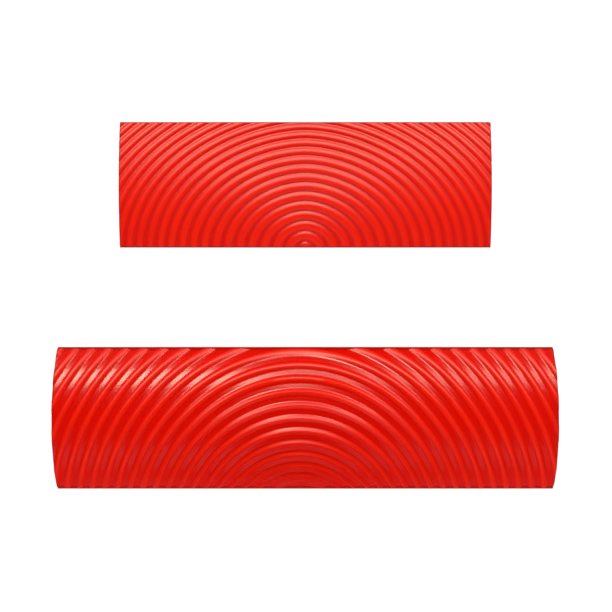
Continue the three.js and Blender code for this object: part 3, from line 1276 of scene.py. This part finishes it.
LAMPS = (
    Lamp("key", -11, 34, 1.0, 0.2, 0.4, 50.0, Role.MIRRORED, "large"),
    Lamp("right key", 13, 33, 1.0, 0.2, 0.4, 17.0, Role.MIRRORED, "large"),
    Lamp("sheen", -3, 45, 1.0, 0.7, 0.95, 17.0, Role.MIRRORED, "small"),
    Lamp("left", -28, 18, 1.0, 0.34, 0.3, 16.5, Role.MIRRORED),
    Lamp("right", 28, 18, 1.0, 0.34, 0.3, 13.5, Role.MIRRORED),
    Lamp("left fill", -90, 35, 1.0, 0.8, 0.7, 0.7, Role.FILL),
    Lamp("right fill", 90, 35, 1.0, 0.8, 0.7, 0.7, Role.FILL),
    Lamp("front fill", 180, 30, 1.1, 1.4, 0.7, 4.6, Role.FILL),
    Lamp("back fill", 0, 30, 1.1, 1.4, 0.7, 6.1, Role.FILL),
)


@dataclass(frozen=True)
class Studio:
    """The floor, the background and the camera, in metres."""

    image_size: int = 612
    focal_pixels: float = 1523.0
    clip_start: float = 0.01
    camera_place: tuple[float, float, float] = (0.00019, 0.00007, 0.414)
    floor_size: float = 6.0
    floor_colour: Colour = (0.16, 0.16, 0.16)
    glow: float = 0.985
    mirrored_share: float = 0.05
    world_strength: float = 0.03

    def build_camera(self) -> None:
        """Sets up the camera, straight above the tools as in the photograph."""
        data = bpy.data.cameras.new("camera")
        data.lens = self.focal_pixels * data.sensor_width / self.image_size
        data.clip_start = self.clip_start
        camera = placed("camera", data)
        camera.location = self.camera_place
        bpy.context.scene.camera = camera

    def seen_rays(self, maker: NodeMaker) -> Term:
        """Tells the rays that show the background.

        Args:
            maker: The maker of the floor's or the world's tree.

        Returns:
            1 for rays from the camera, and a share for those off mirrors or through glass.
        """
        rays = maker.node("ShaderNodeLightPath").outputs
        names = ("Is Camera Ray", "Is Glossy Ray", "Is Transmission Ray")
        camera, glossy, through = (Term(maker, rays[name]) for name in names)
        return maker.clamped(camera + (glossy + through) * self.mirrored_share)

    def build_floor(self) -> None:
        """Lays a plain pale floor that shows white to the camera and keeps the shadow."""
        half = self.floor_size / 2
        corners = [(-half, -half, 0), (half, -half, 0), (half, half, 0), (-half, half, 0)]
        mesh = bpy.data.meshes.new("floor")
        mesh.from_pydata(corners, [], [(0, 1, 2, 3)])
        floor = placed("floor", mesh)
        maker = ShaderMaker("floor")
        maker.dress(
            Base_Color=(*self.floor_colour, 1.0),
            Specular_IOR_Level=0.0,
            Emission_Color=(*PLAIN, 1.0),
            Emission_Strength=self.seen_rays(maker) * self.glow,
        )
        mesh.materials.append(maker.material)

    def build_world(self) -> None:
        """Gives the world a faint even light behind a background that shows white."""
        world = bpy.data.worlds.new("studio")
        world.use_nodes = True
        back = world.node_tree.nodes["Background"]
        back.inputs["Color"].default_value = (*PLAIN, 1.0)
        maker = NodeMaker(world.node_tree)
        seen = self.seen_rays(maker) * self.glow
        maker.feed(back.inputs["Strength"], maker.math("MAXIMUM", seen, self.world_strength))
        bpy.context.scene.world = world

    def build(self, pads: Mapping[str, bpy.types.Object]) -> None:
        """Builds the stage.

        Args:
            pads: Each tool's pad, for the lamps.
        """
        bpy.context.scene.view_settings.view_transform = "Standard"
        self.build_camera()
        self.build_floor()
        self.build_world()
        for lamp in LAMPS:
            lamp.build(pads)


def main() -> None:
    """Builds the stage and both tools."""
    logging.basicConfig(level=logging.INFO, format="%(name)s: %(message)s")
    materials = finish_materials()
    pad_tree, screw_tree = ridged_pad_tree(), screw_row_tree()
    pads = {}
    for sizes in (LARGE, SMALL):
        tool = GrainTool(sizes, materials)
        pads[sizes.name] = tool.build_pad(pad_tree)
        tool.build_softened("backing", "back", edge=0.3)
        tool.build_softened("grip", "grip_bar", edge=0.35)
        tool.build_screws(screw_tree, ScrewSizes())
    Studio().build(pads)
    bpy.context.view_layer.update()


if __name__ == "__main__":
    main()
